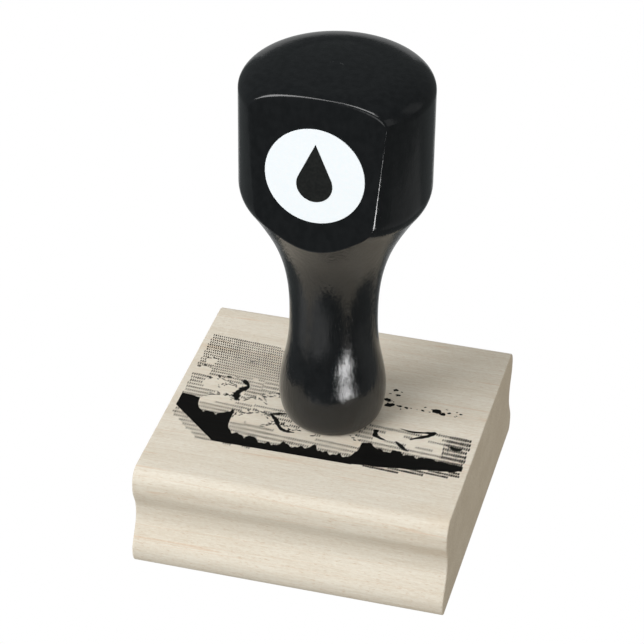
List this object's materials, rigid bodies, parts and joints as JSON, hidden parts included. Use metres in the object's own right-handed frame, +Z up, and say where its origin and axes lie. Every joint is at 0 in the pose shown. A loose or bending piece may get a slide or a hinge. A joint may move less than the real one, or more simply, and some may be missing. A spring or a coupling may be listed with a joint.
{
  "type": "wood-mounted rubber stamp",
  "caption": "Square moulded maple block with a turned black handle on top and a cushioned rubber die glued underneath.",
  "frame": {"origin": "centre of the object's base, in the plane of the rubber die's printing face", "axes": "+Z up along the handle; +X along the moulded front, to the right; +Y from the front to the back"},
  "size_m": [0.0636, 0.0648, 0.1066],
  "materials": {
    "maple": "fine sanded, unfinished",
    "black_lacquer": "gloss black lacquer on turned hardwood",
    "screw_steel": "zinc plated",
    "adhesive_film": "translucent film",
    "cushion_foam": "fine closed-cell foam",
    "die_rubber": "satin moulded rubber",
    "printing_ink": "dry ink",
    "label_white": "satin vinyl"
  },
  "bodies": {
    "mount": {"wood_block": "maple", "handle": "black_lacquer", "handle_screw": "screw_steel", "cushion_tape": "adhesive_film", "foam_cushion": "cushion_foam", "index_print": "printing_ink", "handle_label": "label_white", "label_emblem": "printing_ink"},
    "print_face": {"rubber_die": "die_rubber", "die_tape": "adhesive_film"}
  },
  "joints": [
    {"name": "cushion_press", "type": "slide", "parent": "mount", "child": "print_face", "axis": [0, 0, 1], "range_m": [0, 0.0008], "stiffness_N_per_m": 30000, "deforming": ["foam_cushion"]}
  ]
}
